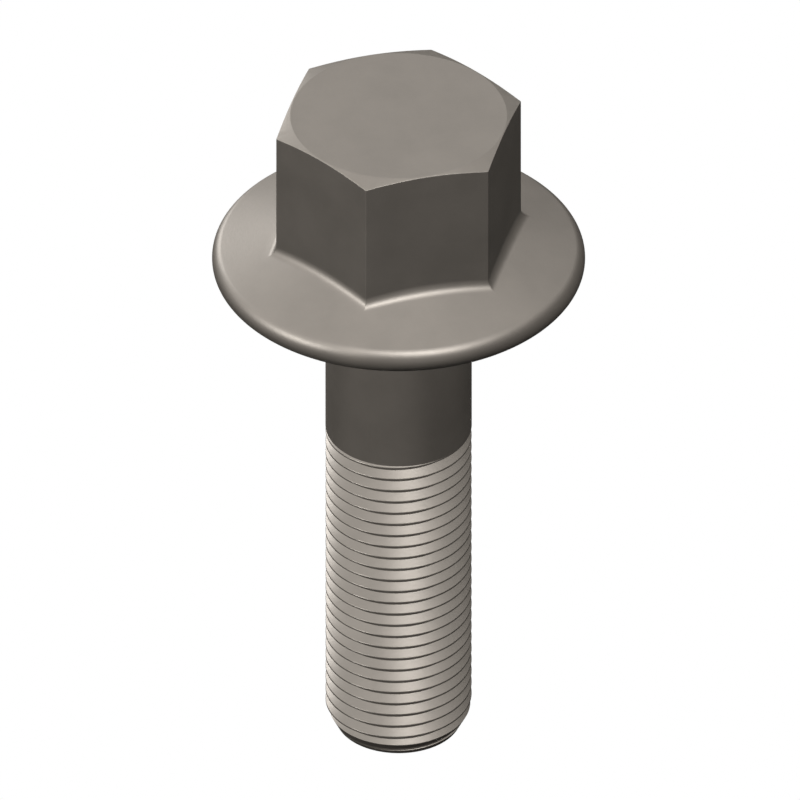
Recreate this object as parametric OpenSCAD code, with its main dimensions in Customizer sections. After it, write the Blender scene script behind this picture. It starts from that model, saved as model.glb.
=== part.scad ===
// Hexagon head bolt with a wide round flange under the head, made as one piece.
// It stands on its head: the bearing face lies in the plane z = 0, the head is below it
// and the shank points up. Sizes are in millimetres and angles in degrees.

/* [Shank] */
// Diameter of the plain shank
shank_d = 16; // [8:0.5:22]
// Length from the bearing face to the end of the point
shank_len = 60; // [30:0.5:80]
// Length of plain shank between the bearing face and the thread
grip_len = 20.8; // [4:0.1:25]
// Radius of the fillet between the bearing face and the shank
neck_fillet = 0.8; // [0.3:0.1:2]

/* [Thread] */
// Pitch of the right-hand thread
pitch = 1.5; // [1.25:0.25:2.5]
// How much smaller the thread's crests are in diameter than the shank
crest_drop = 0.03; // [0.01:0.01:1]
// Height above the thread's start at which a crest crosses the +X side
first_crest = 1.34; // [0:0.01:2.5]
// Length of the chamfered point at the end of the thread
point_len = 2.25; // [0.5:0.05:5]
// How much smaller the end of the point is in diameter than the thread
point_drop = 2.3; // [0.4:0.1:5]

/* [Head] */
// Height of the head from the bearing face to its flat top
head_h = 20.5; // [12:0.1:40]
// Width of the hexagon across its flats
across_flats = 24; // [16:0.5:30]
// Diameter of the flat circle left on top by the chamfer
top_flat_d = 23.7; // [12:0.1:30]
// Slope of the chamfer on the hexagon's corners
chamfer_angle = 17; // [10:1:35]
// Radius of the fillet between the hexagon and the flange
hex_fillet = 1.3; // [0.3:0.1:2]

/* [Flange] */
// Outer diameter of the flange
flange_d = 40.8; // [38:0.1:60]
// Radius of the fully rounded rim, half the rim's thickness
rim_r = 1.5; // [0.5:0.1:3]
// Slope of the flange's upper face
flange_slope = 17; // [5:1:25]

/* [Hidden] */
$fn = 96;

shank_r = shank_d / 2;

// The hexagon, and the chamfer's cone, which runs on past the corners
flat_r = across_flats / 2;
corner_r = flat_r / cos(30);
top_r = min(top_flat_d / 2, flat_r);
chamfer_w = 2 * (corner_r - top_r);
chamfer_h = chamfer_w * tan(chamfer_angle);

// The rim's circle, and the cone that leaves it as a tangent and would meet the axis
rim_x = flange_d / 2 - rim_r;
cone_x = rim_x + rim_r * sin(flange_slope);
cone_h = rim_r + rim_r * cos(flange_slope);
apex_h = cone_h + cone_x * tan(flange_slope);

// The hexagon's fillet bites a little into both faces, so that it cuts them cleanly, and
// its root lies inside the metal. Its steps run along each flat and round its curve
fillet_bite = hex_fillet / 40;
fillet_root = hex_fillet;
flat_steps = 8;
curve_steps = 6;

// A 60 degree ridge, which keeps 17/24 of its sharp triangle's height and a flat crest
thread_r = shank_r - crest_drop / 2;
ridge_h = pitch * cos(30) * 17 / 24;
flank_w = ridge_h * tan(30);
crest_w = pitch / 8;
root_r = thread_r - ridge_h;
point_r = thread_r - point_drop / 2;
turn_steps = 30;

// One pitch of the thread's section as [radius, height]: the crest, then the root
ridge = [
    [thread_r, -crest_w / 2],
    [thread_r, crest_w / 2],
    [root_r, crest_w / 2 + flank_w],
    [root_r, pitch - crest_w / 2 - flank_w]
];

module hexagon() {
    // The prism, with its top corners turned off by a shallow cone
    intersection() {
        translate([0, 0, rim_r]) cylinder(h = head_h - rim_r, r = corner_r, $fn = 6);
        rotate_extrude()
            polygon([
                [0, 0],
                [top_r + chamfer_w, 0],
                [top_r + chamfer_w, head_h - chamfer_h],
                [top_r, head_h],
                [0, head_h]
            ]);
    }
}

// Height of the flange's cone at a distance from the axis
function cone_height(r) = apex_h - r * tan(flange_slope);

// One point of the hexagon's fillet. side runs from -1 to 1 along a flat, from mitre to
// mitre, out is the distance from the axis square to the flat, and h is the height
function on_flat(flat, side, out, h) =
    let (along = side * out * tan(30), turn = 30 + 60 * flat)
    [out * cos(turn) - along * sin(turn), out * sin(turn) + along * cos(turn), h];

// The fillet's section at one place along a flat: the concave curve from the flat down
// to the cone, then three points inside the metal that close it
function fillet_section(flat, side) =
    let (
        stretch = sqrt(1 + pow(side * tan(30), 2)),
        fall = atan(stretch * tan(flange_slope)),
        out = flat_r + hex_fillet - fillet_bite,
        below = cone_height(out * stretch),
        h = below + hex_fillet / cos(fall) - fillet_bite
    )
    [
        for (i = [0 : curve_steps])
            let (a = 180 + (90 - fall) * i / curve_steps)
            on_flat(flat, side, out + hex_fillet * cos(a), h + hex_fillet * sin(a)),
        on_flat(flat, side, out, below - fillet_root),
        on_flat(flat, side, flat_r - fillet_root, below - fillet_root),
        on_flat(flat, side, flat_r - fillet_root, h)
    ];

module hexagon_fillet() {
    sections = [
        for (flat = [0 : 5], i = [0 : flat_steps - 1])
            fillet_section(flat, 2 * i / flat_steps - 1)
    ];
    count = len(sections);
    ring = len(sections[0]);
    function at(section, i) = ring * (section % count) + i % ring;
    polyhedron(
        points = [for (s = sections) each s],
        faces = [
            for (s = [0 : count - 1], i = [0 : ring - 1])
                each [
                    [at(s, i), at(s + 1, i), at(s, i + 1)],
                    [at(s, i + 1), at(s + 1, i), at(s + 1, i + 1)]
                ]
        ]
    );
}

module head() {
    hexagon();
    hexagon_fillet();
}

// Half the section of the flange, the plain shank and the fillet between them
module turned_section() {
    polygon([[0, 0], [rim_x, 0], [cone_x, -cone_h], [0, -apex_h]]);
    translate([rim_x, -rim_r]) circle(r = rim_r);
    translate([0, -rim_r]) square([shank_r, rim_r + grip_len]);
    difference() {
        translate([shank_r - neck_fillet, -neck_fillet]) square(2 * neck_fillet);
        translate([shank_r + neck_fillet, neck_fillet]) circle(r = neck_fillet);
    }
}

// A round rod with the thread on it, longer at both ends than the thread that is kept.
// Sections of one pitch follow the helix, and each joins the section one turn further on
module threaded_rod() {
    turns = ceil((shank_len - grip_len) / pitch) + 5;
    start = grip_len + first_crest % pitch - 3 * pitch;
    last = turns * turn_steps;
    body = last - turn_steps;
    ring = len(ridge);
    bottom = ring * (last + 1);
    top = bottom + 1;
    function section(step) =
        let (a = 360 * step / turn_steps, z = start + pitch * step / turn_steps)
        [for (p = ridge) [p[0] * cos(a), p[0] * sin(a), z + p[1]]];
    function at(step, i) = ring * (i < ring ? step : step + turn_steps) + i % ring;
    polyhedron(
        points = [
            for (step = [0 : last]) each section(step),
            [0, 0, start + pitch / 2],
            [0, 0, start + pitch * (turns - 0.5)]
        ],
        faces = [
            for (step = [0 : body - 1], i = [0 : ring - 1])
                each [
                    [at(step, i), at(step, i + 1), at(step + 1, i)],
                    [at(step, i + 1), at(step + 1, i + 1), at(step + 1, i)]
                ],
            for (step = [0 : turn_steps - 1])
                each [
                    [bottom, at(step, 0), at(step + 1, 0)],
                    [top, at(body + step + 1, 0), at(body + step, 0)]
                ],
            for (i = [0 : ring - 1])
                each [
                    [bottom, at(0, i + 1), at(0, i)],
                    [top, at(body, i), at(body, i + 1)]
                ]
        ]
    );
}

module thread() {
    // The rod starts half a pitch inside the shank, and a cone turns its end to a point
    point_slope = point_len / (thread_r - point_r);
    intersection() {
        threaded_rod();
        rotate_extrude()
            polygon([
                [0, grip_len - pitch / 2],
                [thread_r + pitch, grip_len - pitch / 2],
                [thread_r + pitch, shank_len - point_len - pitch * point_slope],
                [point_r, shank_len],
                [0, shank_len]
            ]);
    }
}

module flange_bolt() {
    color([0.54, 0.51, 0.47]) {
        rotate([180, 0, 0]) head();
        rotate_extrude() turned_section();
        thread();
    }
}

flange_bolt();
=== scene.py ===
"""Flange bolt, standing on its head: the head is below z = 0, the shank points up."""

from math import atan, atan2, cos, hypot, pi, radians, sin, tan

import bmesh
import bpy
from mathutils import Matrix, Vector


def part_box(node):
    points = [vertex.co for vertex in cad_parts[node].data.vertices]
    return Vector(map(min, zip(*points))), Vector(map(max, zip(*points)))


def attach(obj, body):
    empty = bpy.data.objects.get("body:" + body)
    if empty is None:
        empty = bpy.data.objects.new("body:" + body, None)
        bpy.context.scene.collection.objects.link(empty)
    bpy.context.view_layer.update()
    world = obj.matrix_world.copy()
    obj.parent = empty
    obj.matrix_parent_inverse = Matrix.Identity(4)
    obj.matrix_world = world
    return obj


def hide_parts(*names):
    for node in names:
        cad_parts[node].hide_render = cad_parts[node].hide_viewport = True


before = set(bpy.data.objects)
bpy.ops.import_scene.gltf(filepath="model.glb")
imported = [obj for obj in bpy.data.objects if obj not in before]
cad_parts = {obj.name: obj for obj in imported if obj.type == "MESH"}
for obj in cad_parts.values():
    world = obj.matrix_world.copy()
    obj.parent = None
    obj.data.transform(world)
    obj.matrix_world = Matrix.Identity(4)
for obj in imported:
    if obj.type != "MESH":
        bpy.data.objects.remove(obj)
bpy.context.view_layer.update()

# Lengths below are in millimetres, and this turns them into metres
MM = 0.001

# Overall sizes come from the frame's solid
low, high = [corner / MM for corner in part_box("flange_bolt")]
SHANK_LEN = high.z
HEAD_H = -low.z
FLANGE_R = (high.y - low.y) / 2

# Shank and thread
SHANK_R = 8.0
GRIP_LEN = 20.8
NECK_FILLET = 0.8
PITCH = 1.5
CREST_R = 7.985
FIRST_CREST = 1.34
POINT_LEN = 2.25
POINT_R = 6.835

# Hexagon and flange
FLAT_R = 12.0
TOP_R = 11.85
CHAMFER = radians(17)
HEX_FILLET = 1.3
RIM_R = 1.5
SLOPE = radians(17)

# Small radii that a real bolt has on its edges
CORNER_ROUND = 0.12
EDGE_ROUND = 0.06
CREST_ROUND = 0.03

# How finely the mesh follows the curves, how many turns of thread each end of the rod
# has to spare, where the shading breaks and how near points are merged
CORNER_STEPS = 3
FLAT_STEPS = 36
EDGE_STEPS = 6
HEX_FILLET_STEPS = 10
CONE_STEPS = 6
RIM_STEPS = 32
NECK_STEPS = 8
TURN_STEPS = 120
SPARE_TURNS = 3
SHARP_ANGLE = radians(14)
WELD_GAP = 0.0005

# The rim's circle, and the cone that leaves it as a tangent and would meet the axis
RIM_X = FLANGE_R - RIM_R
CONE_X = RIM_X + RIM_R * sin(SLOPE)
APEX_H = RIM_R + RIM_R * cos(SLOPE) + CONE_X * tan(SLOPE)

# Steel: its colours, how matt it is, the scale and detail of each noise, and the
# height of its fine marks
STEEL_DARK = (0.188, 0.168, 0.145, 1)
STEEL_PALE = (0.206, 0.184, 0.159, 1)
STEEL_RUBBED = (0.23, 0.208, 0.182, 1)
METALLIC = 0.55
ROUGHNESS = (0.46, 0.5)
GRAIN_ROUGHNESS = 0.015
THREAD_SMOOTHER = 0.07
BLOTCHES = (160, 5)
GRAIN = (2600, 3)
MARKS = (9000, 2)
GRAIN_H = 0.01
MARK_H = 0.004
RUBBED_REACH = 0.3

# Which part of a noise's values, which gather about 0.5, takes the finish from end to
# end, and how much rubbing is left where it is weakest
NOISE_SPAN = (0.3, 0.7)
TONE_SPAN = (0.35, 0.65)
RUBBED_SPAN = (0.35, 0.6)
RUBBED_LEAST = 0.3

# How well a rounded and a true normal match where an edge begins, and on its ridge
EDGE_MATCH = (0.995, 0.9)

# Heights above the bearing face between which each part of the finish fades in
SIDES_FADE = (6.8, 7.8)
TOP_FADE = (HEAD_H - 0.1, HEAD_H - 0.3)
THREAD_FADE = (-GRIP_LEN, -GRIP_LEN - 0.4)

# The floor, just under the head, and the wide sun that lights it
FLOOR_COLOUR = (0.85, 0.85, 0.84, 1)
FLOOR_REACH = 3000
FLOOR_GAP = 0.2
FLOOR_SUN_LEVEL = 0.95
FLOOR_SUN_WIDTH = radians(50)
FLOOR_SUN_TILT = (radians(25), 0, radians(40))

# The camera: the photograph looks at the head from this far above its plane, and
# FRONT is the direction round the bolt that faces it
VIEW_TILT = radians(35.264)
FRONT = radians(105)
PHOTO_PIXELS = 800
PIXELS_PER_MM = 9.15
AXIS_LEFT_PIXELS = 1.4
CENTRE_H = -17.55
CAMERA_FAR = 500

# Black flags: how far they stand off, the direction to the middle of their opening as
# the photograph has it, and how far from that middle they begin
FLAGS_FAR = 2000
OPENING_AZIMUTH = radians(-135)
OPENING_ELEVATION = radians(66)
OPENING_REACH = radians(60)
FLAGS_RINGS = 36

# Lamps: azimuth and elevation as the photograph has them, level, and width as an angle
LAMP_FAR = 600
LAMPS = {
    "key": (18, 66, 0.62, 14),
    "key_low": (29, 52, 0.4, 14),
    "left": (-63, 30, 0.69, 14),
    "rim": (-149, 18, 0.3, 14),
    "low": (14, -5, 0.04, 30),
}

# Lamps that leave no highlights. The bolt blocks the light of the last one alone
MATT_LAMPS = {
    "under": (0, -85, 0.08, 40),
    "back": (180, -50, 1.2, 40),
}
SHADOW_LAMP = "back"

# How strong the white world is as a light
AMBIENT = 0.08


def from_photo(azimuth, elevation):
    """Unit vector to a place azimuth to the right of the photograph's front and
    elevation above the horizon of the photograph, where the head is on top."""
    turn = FRONT - azimuth
    return Vector(
        (cos(turn) * cos(elevation), sin(turn) * cos(elevation), -sin(elevation))
    )


# Mesh


def add_object(name, data):
    made = bpy.data.objects.new(name, data)
    bpy.context.scene.collection.objects.link(made)
    return made


def add_mesh(name, points, faces):
    """An object with a mesh whose points are given in millimetres."""
    mesh = bpy.data.meshes.new(name)
    mesh.from_pydata([Vector(p) * MM for p in points], [], faces)
    return add_object(name, mesh)


def closed_mesh(name, rings, bottom, top):
    """A closed mesh through rings of points, closed by a fan to a point at each end."""
    count = len(rings[0])
    points = [point for ring in rings for point in ring] + [bottom, top]
    first, last = len(points) - 2, len(points) - 1
    end = count * (len(rings) - 1)
    faces = []
    for i in range(count):
        j = (i + 1) % count
        faces.append((first, j, i))
        faces.append((last, end + i, end + j))
        for start in range(0, end, count):
            faces.append((start + i, start + j, start + count + j, start + count + i))
    return add_mesh(name, points, faces)


def arc(x, h, radius, start, end, steps):
    """Points (x, h) of an arc round a centre, from one angle to another."""
    turns = [start + (end - start) * i / steps for i in range(steps + 1)]
    return [(x + radius * cos(a), h + radius * sin(a)) for a in turns]


def hexagon_outline():
    """The angle and radius of each point of the hexagon's outline, corners rounded."""
    reach = (FLAT_R - CORNER_ROUND) / cos(pi / 6)
    half_flat = reach * sin(pi / 6)
    outline = []
    for corner in range(6):
        turn = corner * pi / 3
        for x, y in arc(reach, 0, CORNER_ROUND, -pi / 6, pi / 6, 2 * CORNER_STEPS):
            outline.append((turn + atan2(y, x), hypot(x, y)))
        for i in range(1, FLAT_STEPS):
            along = half_flat * (2 * i / FLAT_STEPS - 1)
            outline.append((turn + pi / 6 + atan(along / FLAT_R), hypot(along, FLAT_R)))
    return outline


def cone_height(r):
    """Height of the flange's cone above the bearing face."""
    return APEX_H - r * tan(SLOPE)


def head_section(m):
    """The head's section where the hexagon's outline has radius m, as (radius, height
    above the bearing face), from the top's centre to the flange's rim."""
    stretch = m / FLAT_R
    edge_h = HEAD_H - (m - TOP_R) * tan(CHAMFER)
    edge_drop = EDGE_ROUND * (1 - sin(CHAMFER)) / cos(CHAMFER)
    fall = atan(stretch * tan(SLOPE))
    out = FLAT_R + HEX_FILLET
    centre_h = cone_height(out * stretch) + HEX_FILLET / cos(fall)
    fillet = arc(out, centre_h, HEX_FILLET, pi, 1.5 * pi - fall, HEX_FILLET_STEPS)
    cone_start = stretch * fillet[-1][0]
    cone = [
        cone_start + (CONE_X - cone_start) * i / CONE_STEPS for i in range(1, CONE_STEPS)
    ]
    return [
        (TOP_R / 2, HEAD_H),
        (TOP_R, HEAD_H),
        *arc(m - EDGE_ROUND, edge_h - edge_drop, EDGE_ROUND, pi / 2 - CHAMFER, 0, EDGE_STEPS),
        *[(stretch * x, h) for x, h in fillet],
        *[(r, cone_height(r)) for r in cone],
        *arc(RIM_X, RIM_R, RIM_R, pi / 2 - SLOPE, -pi / 2, RIM_STEPS),
    ]


def shank_section():
    """The plain shank's section from its neck fillet to its end. Heights fall along it."""
    neck = SHANK_R + NECK_FILLET
    return [
        *arc(neck, -NECK_FILLET, NECK_FILLET, pi / 2, pi, NECK_STEPS),
        (SHANK_R, -GRIP_LEN),
    ]


def make_body():
    """The head, the flange and the plain shank as one closed mesh."""
    columns = [
        [
            (r * cos(turn), r * sin(turn), -h)
            for r, h in head_section(m) + shank_section()
        ]
        for turn, m in hexagon_outline()
    ]
    rings = [list(ring) for ring in zip(*columns)]
    return closed_mesh("body", rings, (0, 0, -HEAD_H), (0, 0, GRIP_LEN))


def thread_profile():
    """One pitch of the thread's section as (radius, height), from the crest to the root.
    It keeps 17/24 of its sharp 60 degree triangle's height, and its crest is an
    eighth of the pitch wide."""
    depth = PITCH * cos(pi / 6) * 17 / 24
    flank = depth * tan(pi / 6)
    crest = PITCH / 16
    root = CREST_R - depth
    soft = CREST_ROUND
    return [
        (CREST_R - soft, -crest - soft * tan(pi / 6)),
        (CREST_R, -crest + soft),
        (CREST_R, crest - soft),
        (CREST_R - soft, crest + soft * tan(pi / 6)),
        (root, crest + flank),
        (root, PITCH - crest - flank),
    ]


def make_rod():
    """A threaded rod that is longer at both ends than the thread that is kept. Sections
    of one pitch follow the helix, and each joins the section one turn further on."""
    profile = thread_profile()
    count = len(profile)
    turns = int((SHANK_LEN - GRIP_LEN) / PITCH) + 2 * SPARE_TURNS
    start = GRIP_LEN + FIRST_CREST - SPARE_TURNS * PITCH
    last = turns * TURN_STEPS
    body = last - TURN_STEPS
    points = []
    for step in range(last + 1):
        turn = 2 * pi * step / TURN_STEPS
        lift = start + PITCH * step / TURN_STEPS
        points += [(r * cos(turn), r * sin(turn), lift + z) for r, z in profile]
    bottom, top = len(points), len(points) + 1
    points += [(0, 0, start + PITCH / 2), (0, 0, start + PITCH * (turns - 0.5))]

    def at(step, i):
        return count * (step + TURN_STEPS * (i // count)) + i % count

    faces = []
    for step in range(body):
        for i in range(count):
            faces.append((at(step, i), at(step + 1, i), at(step + 1, i + 1), at(step, i + 1)))
    for step in range(TURN_STEPS):
        faces.append((bottom, at(step + 1, 0), at(step, 0)))
        faces.append((top, at(body + step, 0), at(body + step + 1, 0)))
    for i in range(count):
        faces.append((bottom, at(0, i), at(0, i + 1)))
        faces.append((top, at(body, i + 1), at(body, i)))
    return add_mesh("rod", points, faces)


def make_envelope():
    """The space that the thread keeps: from inside the plain shank to the point's cone."""
    start = GRIP_LEN - PITCH / 2
    outside = CREST_R + PITCH
    slope = POINT_LEN / (CREST_R - POINT_R)
    section = [
        (outside, start),
        (outside, SHANK_LEN - POINT_LEN - PITCH * slope),
        (POINT_R, SHANK_LEN),
    ]
    circle = [2 * pi * i / TURN_STEPS for i in range(TURN_STEPS)]
    rings = [[(r * cos(a), r * sin(a), z) for a in circle] for r, z in section]
    return closed_mesh("envelope", rings, (0, 0, start), (0, 0, SHANK_LEN))


def combine(target, other, operation):
    """Applies a boolean of other to target, and deletes other."""
    for piece in (target, other):
        shape = bmesh.new()
        shape.from_mesh(piece.data)
        bmesh.ops.recalc_face_normals(shape, faces=shape.faces)
        shape.to_mesh(piece.data)
        shape.free()
    boolean = target.modifiers.new("boolean", "BOOLEAN")
    boolean.operation = operation
    boolean.object = other
    boolean.solver = "MANIFOLD"
    bpy.context.view_layer.update()
    evaluated = target.evaluated_get(bpy.context.evaluated_depsgraph_get())
    mesh = bpy.data.meshes.new_from_object(evaluated)
    target.modifiers.clear()
    target.data = mesh
    bpy.data.objects.remove(other)
    weld(mesh)


def weld(mesh):
    """Merges the points that a boolean leaves almost on each other."""
    shape = bmesh.new()
    shape.from_mesh(mesh)
    bmesh.ops.remove_doubles(shape, verts=shape.verts, dist=WELD_GAP * MM)
    bmesh.ops.dissolve_degenerate(shape, edges=shape.edges, dist=WELD_GAP * MM)
    shape.to_mesh(mesh)
    shape.free()


def make_bolt():
    thread = make_rod()
    combine(thread, make_envelope(), "INTERSECT")
    bolt = make_body()
    combine(bolt, thread, "UNION")
    bolt.name = bolt.data.name = "flange_bolt_steel"
    bolt.data.polygons.foreach_set("use_smooth", [True] * len(bolt.data.polygons))
    bolt.data.set_sharp_from_angle(angle=SHARP_ANGLE)
    weighted = bolt.modifiers.new("weighted normals", "WEIGHTED_NORMAL")
    weighted.keep_sharp = True
    bolt.data.materials.clear()
    bolt.data.materials.append(steel_material())
    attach(bolt, "root")
    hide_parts("flange_bolt")
    return bolt


# Materials


def new_material(name):
    """A material with its nodes cleared, and its node tree."""
    material = bpy.data.materials.new(name)
    material.use_nodes = True
    tree = material.node_tree
    tree.nodes.clear()
    return material, tree


def add_node(tree, kind, settings=None, **inputs):
    """A node with its settings, and inputs given as values or as sockets to link. An
    input is named, with _ for a space, or numbered, as in i0."""
    made = tree.nodes.new(kind)
    for name, value in (settings or {}).items():
        setattr(made, name, value)
    for name, value in inputs.items():
        key = int(name[1:]) if name[1:].isdigit() else name.replace("_", " ")
        socket = made.inputs[key]
        if isinstance(value, bpy.types.NodeSocket):
            tree.links.new(value, socket)
        else:
            socket.default_value = value
    return made


def add_math(tree, operation, first, second):
    made = add_node(tree, "ShaderNodeMath", {"operation": operation}, i0=first, i1=second)
    return made.outputs[0]


def add_noise(tree, place, scale, detail):
    """Even noise over a place, about 0.5."""
    made = add_node(
        tree, "ShaderNodeTexNoise", Vector=place, Scale=scale, Detail=detail, Roughness=0.6
    )
    return made.outputs[0]


def add_range(tree, value, start, end, at_start, at_end):
    """A value between start and end, mapped to at_start and at_end and held there."""
    made = add_node(
        tree,
        "ShaderNodeMapRange",
        Value=value,
        From_Min=start,
        From_Max=end,
        To_Min=at_start,
        To_Max=at_end,
    )
    return made.outputs["Result"]


def add_mix(tree, share, first, second):
    """A colour that goes from the first to the second as share goes from 0 to 1."""
    made = add_node(
        tree, "ShaderNodeMix", {"data_type": "RGBA"}, i0=share, i6=first, i7=second
    )
    return made.outputs[2]


def add_bump(tree, height, reach, **inputs):
    """A normal for a surface that rises by reach as height goes from 0 to 1."""
    made = add_node(tree, "ShaderNodeBump", Height=height, Distance=reach * MM, **inputs)
    return made.outputs["Normal"]


def add_output(tree, shader):
    output = add_node(tree, "ShaderNodeOutputMaterial")
    tree.links.new(shader, output.inputs["Surface"])


def height_share(tree, parts, fade):
    """0 at the first height above the bearing face, 1 from the second on."""
    return add_range(tree, parts.outputs["Z"], -fade[0] * MM, -fade[1] * MM, 0, 1)


def turning_marks(tree, parts):
    """Noise by the radius and the height alone, so that its marks are circles."""
    across = add_node(
        tree, "ShaderNodeCombineXYZ", X=parts.outputs["X"], Y=parts.outputs["Y"]
    )
    radius = add_node(
        tree, "ShaderNodeVectorMath", {"operation": "LENGTH"}, i0=across.outputs[0]
    )
    section = add_node(
        tree, "ShaderNodeCombineXYZ", X=radius.outputs["Value"], Y=parts.outputs["Z"]
    )
    return add_noise(tree, section.outputs[0], *MARKS)


def edge_share(tree):
    """0 on smooth ground and 1 along edges, where a rounded normal turns away."""
    rounded = add_node(tree, "ShaderNodeBevel", {"samples": 8}, Radius=RUBBED_REACH * MM)
    facing = add_node(tree, "ShaderNodeNewGeometry")
    match = add_node(
        tree,
        "ShaderNodeVectorMath",
        {"operation": "DOT_PRODUCT"},
        i0=rounded.outputs["Normal"],
        i1=facing.outputs["Normal"],
    )
    return add_range(tree, match.outputs["Value"], *EDGE_MATCH, 0, 1)


def steel_material():
    """Grey steel: soft blotches of tone, a fine grain, marks of turning that run round the
    bolt, and edges of the hexagon that are rubbed a little brighter."""
    material, tree = new_material("steel")
    place = add_node(tree, "ShaderNodeTexCoord").outputs["Object"]
    parts = add_node(tree, "ShaderNodeSeparateXYZ", Vector=place)
    blotches = add_noise(tree, place, *BLOTCHES)
    grain = add_noise(tree, place, *GRAIN)

    # The hexagon's sides aren't turned, and only the hexagon has edges that rub
    hexagon = height_share(tree, parts, SIDES_FADE)
    sides = add_math(tree, "MULTIPLY", hexagon, height_share(tree, parts, TOP_FADE))
    turned = add_math(tree, "SUBTRACT", 1.0, sides)
    marks = add_math(tree, "MULTIPLY", turning_marks(tree, parts), turned)
    patchy = add_range(tree, blotches, *RUBBED_SPAN, RUBBED_LEAST, 1)
    edges = add_math(tree, "MULTIPLY", edge_share(tree), hexagon)
    rubbed = add_math(tree, "MULTIPLY", edges, patchy)

    tone = add_range(tree, blotches, *TONE_SPAN, 0, 1)
    steel = add_mix(tree, tone, STEEL_DARK, STEEL_PALE)
    colour = add_mix(tree, rubbed, steel, STEEL_RUBBED)

    # The rolled thread is a little smoother than the rest
    thread = height_share(tree, parts, THREAD_FADE)
    rolled = add_math(tree, "MULTIPLY", thread, THREAD_SMOOTHER)
    dull = add_range(tree, blotches, *NOISE_SPAN, *ROUGHNESS)
    fine = add_range(tree, grain, *NOISE_SPAN, -GRAIN_ROUGHNESS, GRAIN_ROUGHNESS)
    roughness = add_math(tree, "SUBTRACT", add_math(tree, "ADD", dull, fine), rolled)
    grained = add_bump(tree, grain, GRAIN_H)
    shader = add_node(
        tree,
        "ShaderNodeBsdfPrincipled",
        Base_Color=colour,
        Metallic=METALLIC,
        Roughness=roughness,
        Specular_IOR_Level=1.0,
        Normal=add_bump(tree, marks, MARK_H, Normal=grained),
    )
    add_output(tree, shader.outputs["BSDF"])
    return material


def floor_material():
    """Pale and matt from above. From below it is clear, so that the camera sees past it."""
    material, tree = new_material("floor")
    facing = add_node(tree, "ShaderNodeNewGeometry")
    pale = add_node(tree, "ShaderNodeBsdfDiffuse", Color=FLOOR_COLOUR)
    clear = add_node(tree, "ShaderNodeBsdfTransparent")
    mixed = add_node(
        tree,
        "ShaderNodeMixShader",
        i0=facing.outputs["Backfacing"],
        i1=pale.outputs[0],
        i2=clear.outputs[0],
    )
    add_output(tree, mixed.outputs[0])
    return material


def cloth_material():
    """Black cloth that gives no light back."""
    material, tree = new_material("black_cloth")
    cloth = add_node(tree, "ShaderNodeBsdfDiffuse", Color=(0, 0, 0, 1))
    add_output(tree, cloth.outputs[0])
    return material


# Scene


def make_floor():
    """A pale floor just under the head, which only the camera sees."""
    z = -HEAD_H - FLOOR_GAP
    r = FLOOR_REACH
    corners = [(-r, -r, z), (r, -r, z), (r, r, z), (-r, r, z)]
    floor = add_mesh("floor", corners, [(0, 1, 2, 3)])
    floor.data.materials.append(floor_material())
    floor.visible_diffuse = False
    floor.visible_glossy = False
    floor.visible_transmission = False
    floor.visible_shadow = False
    return floor


def make_flags():
    """Black cloth over and round the bolt, far off, open below. Only reflections see it:
    the metal shows the white studio below it and is dark elsewhere, as photographed."""
    far = FLAGS_FAR * MM
    dome = bmesh.new()
    bmesh.ops.create_uvsphere(
        dome, u_segments=2 * FLAGS_RINGS, v_segments=FLAGS_RINGS, radius=far
    )
    # A ring of points lies on the opening's edge, and it stays
    edge = far * cos(OPENING_REACH) + MM
    opening = [point for point in dome.verts if point.co.z > edge]
    bmesh.ops.delete(dome, geom=opening, context="VERTS")
    mesh = bpy.data.meshes.new("flags")
    dome.to_mesh(mesh)
    dome.free()
    mesh.materials.append(cloth_material())
    flags = add_object("flags", mesh)
    flags.rotation_mode = "QUATERNION"
    middle = from_photo(OPENING_AZIMUTH, OPENING_ELEVATION)
    flags.rotation_quaternion = middle.to_track_quat("Z", "Y")
    flags.visible_camera = False
    flags.visible_diffuse = False
    flags.visible_shadow = False


def make_camera():
    """A camera without perspective from the photograph's direction, framed as it is."""
    back = from_photo(0, VIEW_TILT)
    right = Vector((sin(FRONT), -cos(FRONT), 0))
    up = back.cross(right)
    target = Vector((0, 0, -CENTRE_H)) + right * AXIS_LEFT_PIXELS / PIXELS_PER_MM
    data = bpy.data.cameras.new("camera")
    data.type = "ORTHO"
    data.ortho_scale = PHOTO_PIXELS / PIXELS_PER_MM * MM
    camera = add_object("camera", data)
    place = Matrix.Translation((target + back * CAMERA_FAR) * MM)
    camera.matrix_world = place @ Matrix((right, up, back)).transposed().to_4x4()
    bpy.context.scene.camera = camera


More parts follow.
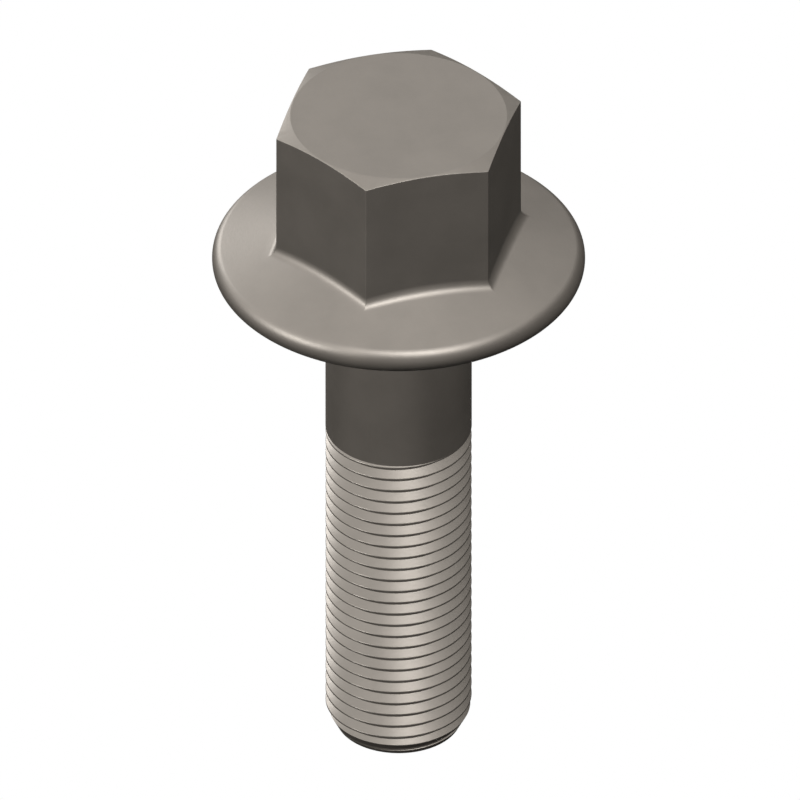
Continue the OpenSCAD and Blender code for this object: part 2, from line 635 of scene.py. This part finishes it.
def make_lamp(name, azimuth, elevation, level, width):
    """A soft disc lamp without shadows. level is the share of a colour's brightness that
    it gives to a surface facing it, and width is how wide it looks from the bolt."""
    far = LAMP_FAR * MM
    data = bpy.data.lights.new(name, "AREA")
    data.shape = "DISK"
    data.size = 2 * far * tan(radians(width) / 2)
    data.energy = level * pi * pi * far * far
    data.use_shadow = False
    lamp = add_object(name, data)
    towards = from_photo(radians(azimuth), radians(elevation))
    lamp.location = towards * far
    lamp.rotation_mode = "QUATERNION"
    lamp.rotation_quaternion = towards.to_track_quat("Z", "Y")
    lamp.visible_camera = False
    return lamp


def light_only(lamp, receiver):
    """The lamp lights this one object."""
    receivers = bpy.data.collections.new("lit_by_" + lamp.name)
    receivers.objects.link(receiver)
    lamp.light_linking.receiver_collection = receivers


def make_lamps(bolt):
    """Every lamp that lights the bolt."""
    for name, facts in LAMPS.items():
        make_lamp(name, *facts)
    for name, facts in MATT_LAMPS.items():
        lamp = make_lamp(name, *facts)
        lamp.visible_glossy = False
        lamp.data.use_shadow = name == SHADOW_LAMP
        light_only(lamp, bolt)


def make_floor_sun(floor):
    """A wide sun that lights the floor alone, so that the bolt's shadow falls on it."""
    data = bpy.data.lights.new("floor_sun", "SUN")
    data.energy = FLOOR_SUN_LEVEL * pi
    data.angle = FLOOR_SUN_WIDTH
    sun = add_object("floor_sun", data)
    sun.rotation_euler = FLOOR_SUN_TILT
    light_only(sun, floor)


def make_world():
    """White wherever it is seen, and weak as a light."""
    world = bpy.data.worlds.new("studio")
    world.use_nodes = True
    tree = world.node_tree
    tree.nodes.clear()
    path = add_node(tree, "ShaderNodeLightPath")
    seen = path.outputs["Is Camera Ray"]
    for kind in ("Is Glossy Ray", "Is Transmission Ray"):
        seen = add_math(tree, "MAXIMUM", seen, path.outputs[kind])
    strength = add_range(tree, seen, 0, 1, AMBIENT, 1)
    sky = add_node(tree, "ShaderNodeBackground", Color=(1, 1, 1, 1), Strength=strength)
    output = add_node(tree, "ShaderNodeOutputWorld")
    tree.links.new(sky.outputs[0], output.inputs["Surface"])
    bpy.context.scene.world = world


bolt = make_bolt()
bolt.visible_diffuse = False
bolt.visible_glossy = False
make_floor_sun(make_floor())
make_camera()
make_flags()
make_lamps(bolt)
make_world()
bpy.context.scene.view_settings.view_transform = "Standard"
